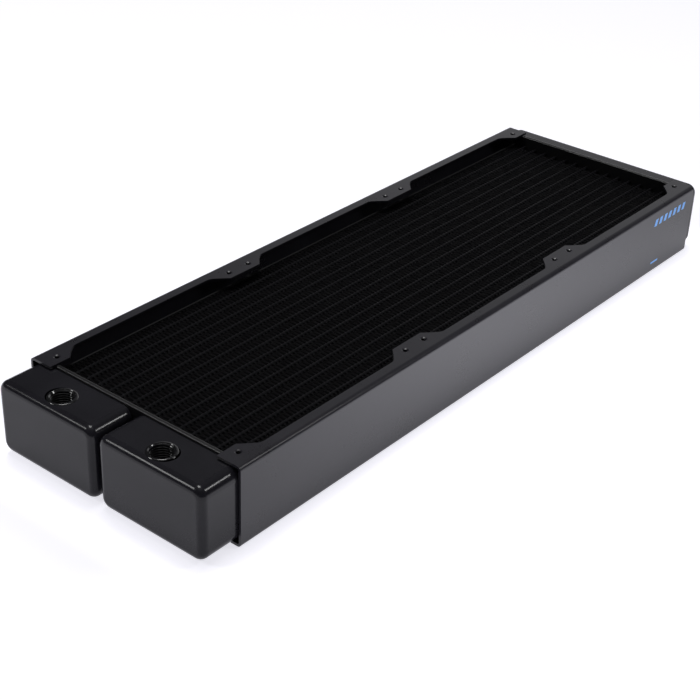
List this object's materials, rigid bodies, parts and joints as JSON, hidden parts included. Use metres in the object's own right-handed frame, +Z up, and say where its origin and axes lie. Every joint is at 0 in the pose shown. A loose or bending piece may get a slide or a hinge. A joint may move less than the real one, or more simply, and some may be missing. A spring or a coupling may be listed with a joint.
{
  "type": "liquid cooling radiator",
  "caption": "Long flat radiator for liquid cooling of a computer, with a finned core in a folded black case, port tanks at one end and a return tank at the other.",
  "frame": {"origin": "centre of the bounding box's bottom face", "axes": "+X from the port tanks to the return tank, +Y across, +Z up out of the face with the ports"},
  "size_m": [0.455, 0.144, 0.0455],
  "materials": {
    "case_paint": "satin powder coat",
    "tank_paint": "satin powder coat, a little glossier than the case",
    "header_paint": "satin powder coat",
    "port_finish": "gloss black plating",
    "tube_paint": "thin matt paint",
    "fin_paint": "thin matt paint",
    "core_plate_paint": "thin matt paint"
  },
  "bodies": {
    "root": {"side_panel_left": "case_paint", "side_panel_right": "case_paint", "header_plate_front": "header_paint", "header_plate_rear": "header_paint", "inlet_tank": "tank_paint", "outlet_tank": "tank_paint", "return_tank": "tank_paint", "inlet_port_bush": "port_finish", "outlet_port_bush": "port_finish", "flat_tube_01": "tube_paint", "flat_tube_02": "tube_paint", "flat_tube_03": "tube_paint", "flat_tube_04": "tube_paint", "flat_tube_05": "tube_paint", "flat_tube_06": "tube_paint", "flat_tube_07": "tube_paint", "flat_tube_08": "tube_paint", "flat_tube_09": "tube_paint", "flat_tube_10": "tube_paint", "flat_tube_11": "tube_paint", "flat_tube_12": "tube_paint", "flat_tube_13": "tube_paint", "flat_tube_14": "tube_paint", "fin_strip_01": "fin_paint", "fin_strip_02": "fin_paint", "fin_strip_03": "fin_paint", "fin_strip_04": "fin_paint", "fin_strip_05": "fin_paint", "fin_strip_06": "fin_paint", "fin_strip_07": "fin_paint", "fin_strip_08": "fin_paint", "fin_strip_09": "fin_paint", "fin_strip_10": "fin_paint", "fin_strip_11": "fin_paint", "fin_strip_12": "fin_paint", "fin_strip_13": "fin_paint", "fin_strip_14": "fin_paint", "fin_strip_15": "fin_paint", "core_plate_left": "core_plate_paint", "core_plate_right": "core_plate_paint"}
  },
  "joints": []
}
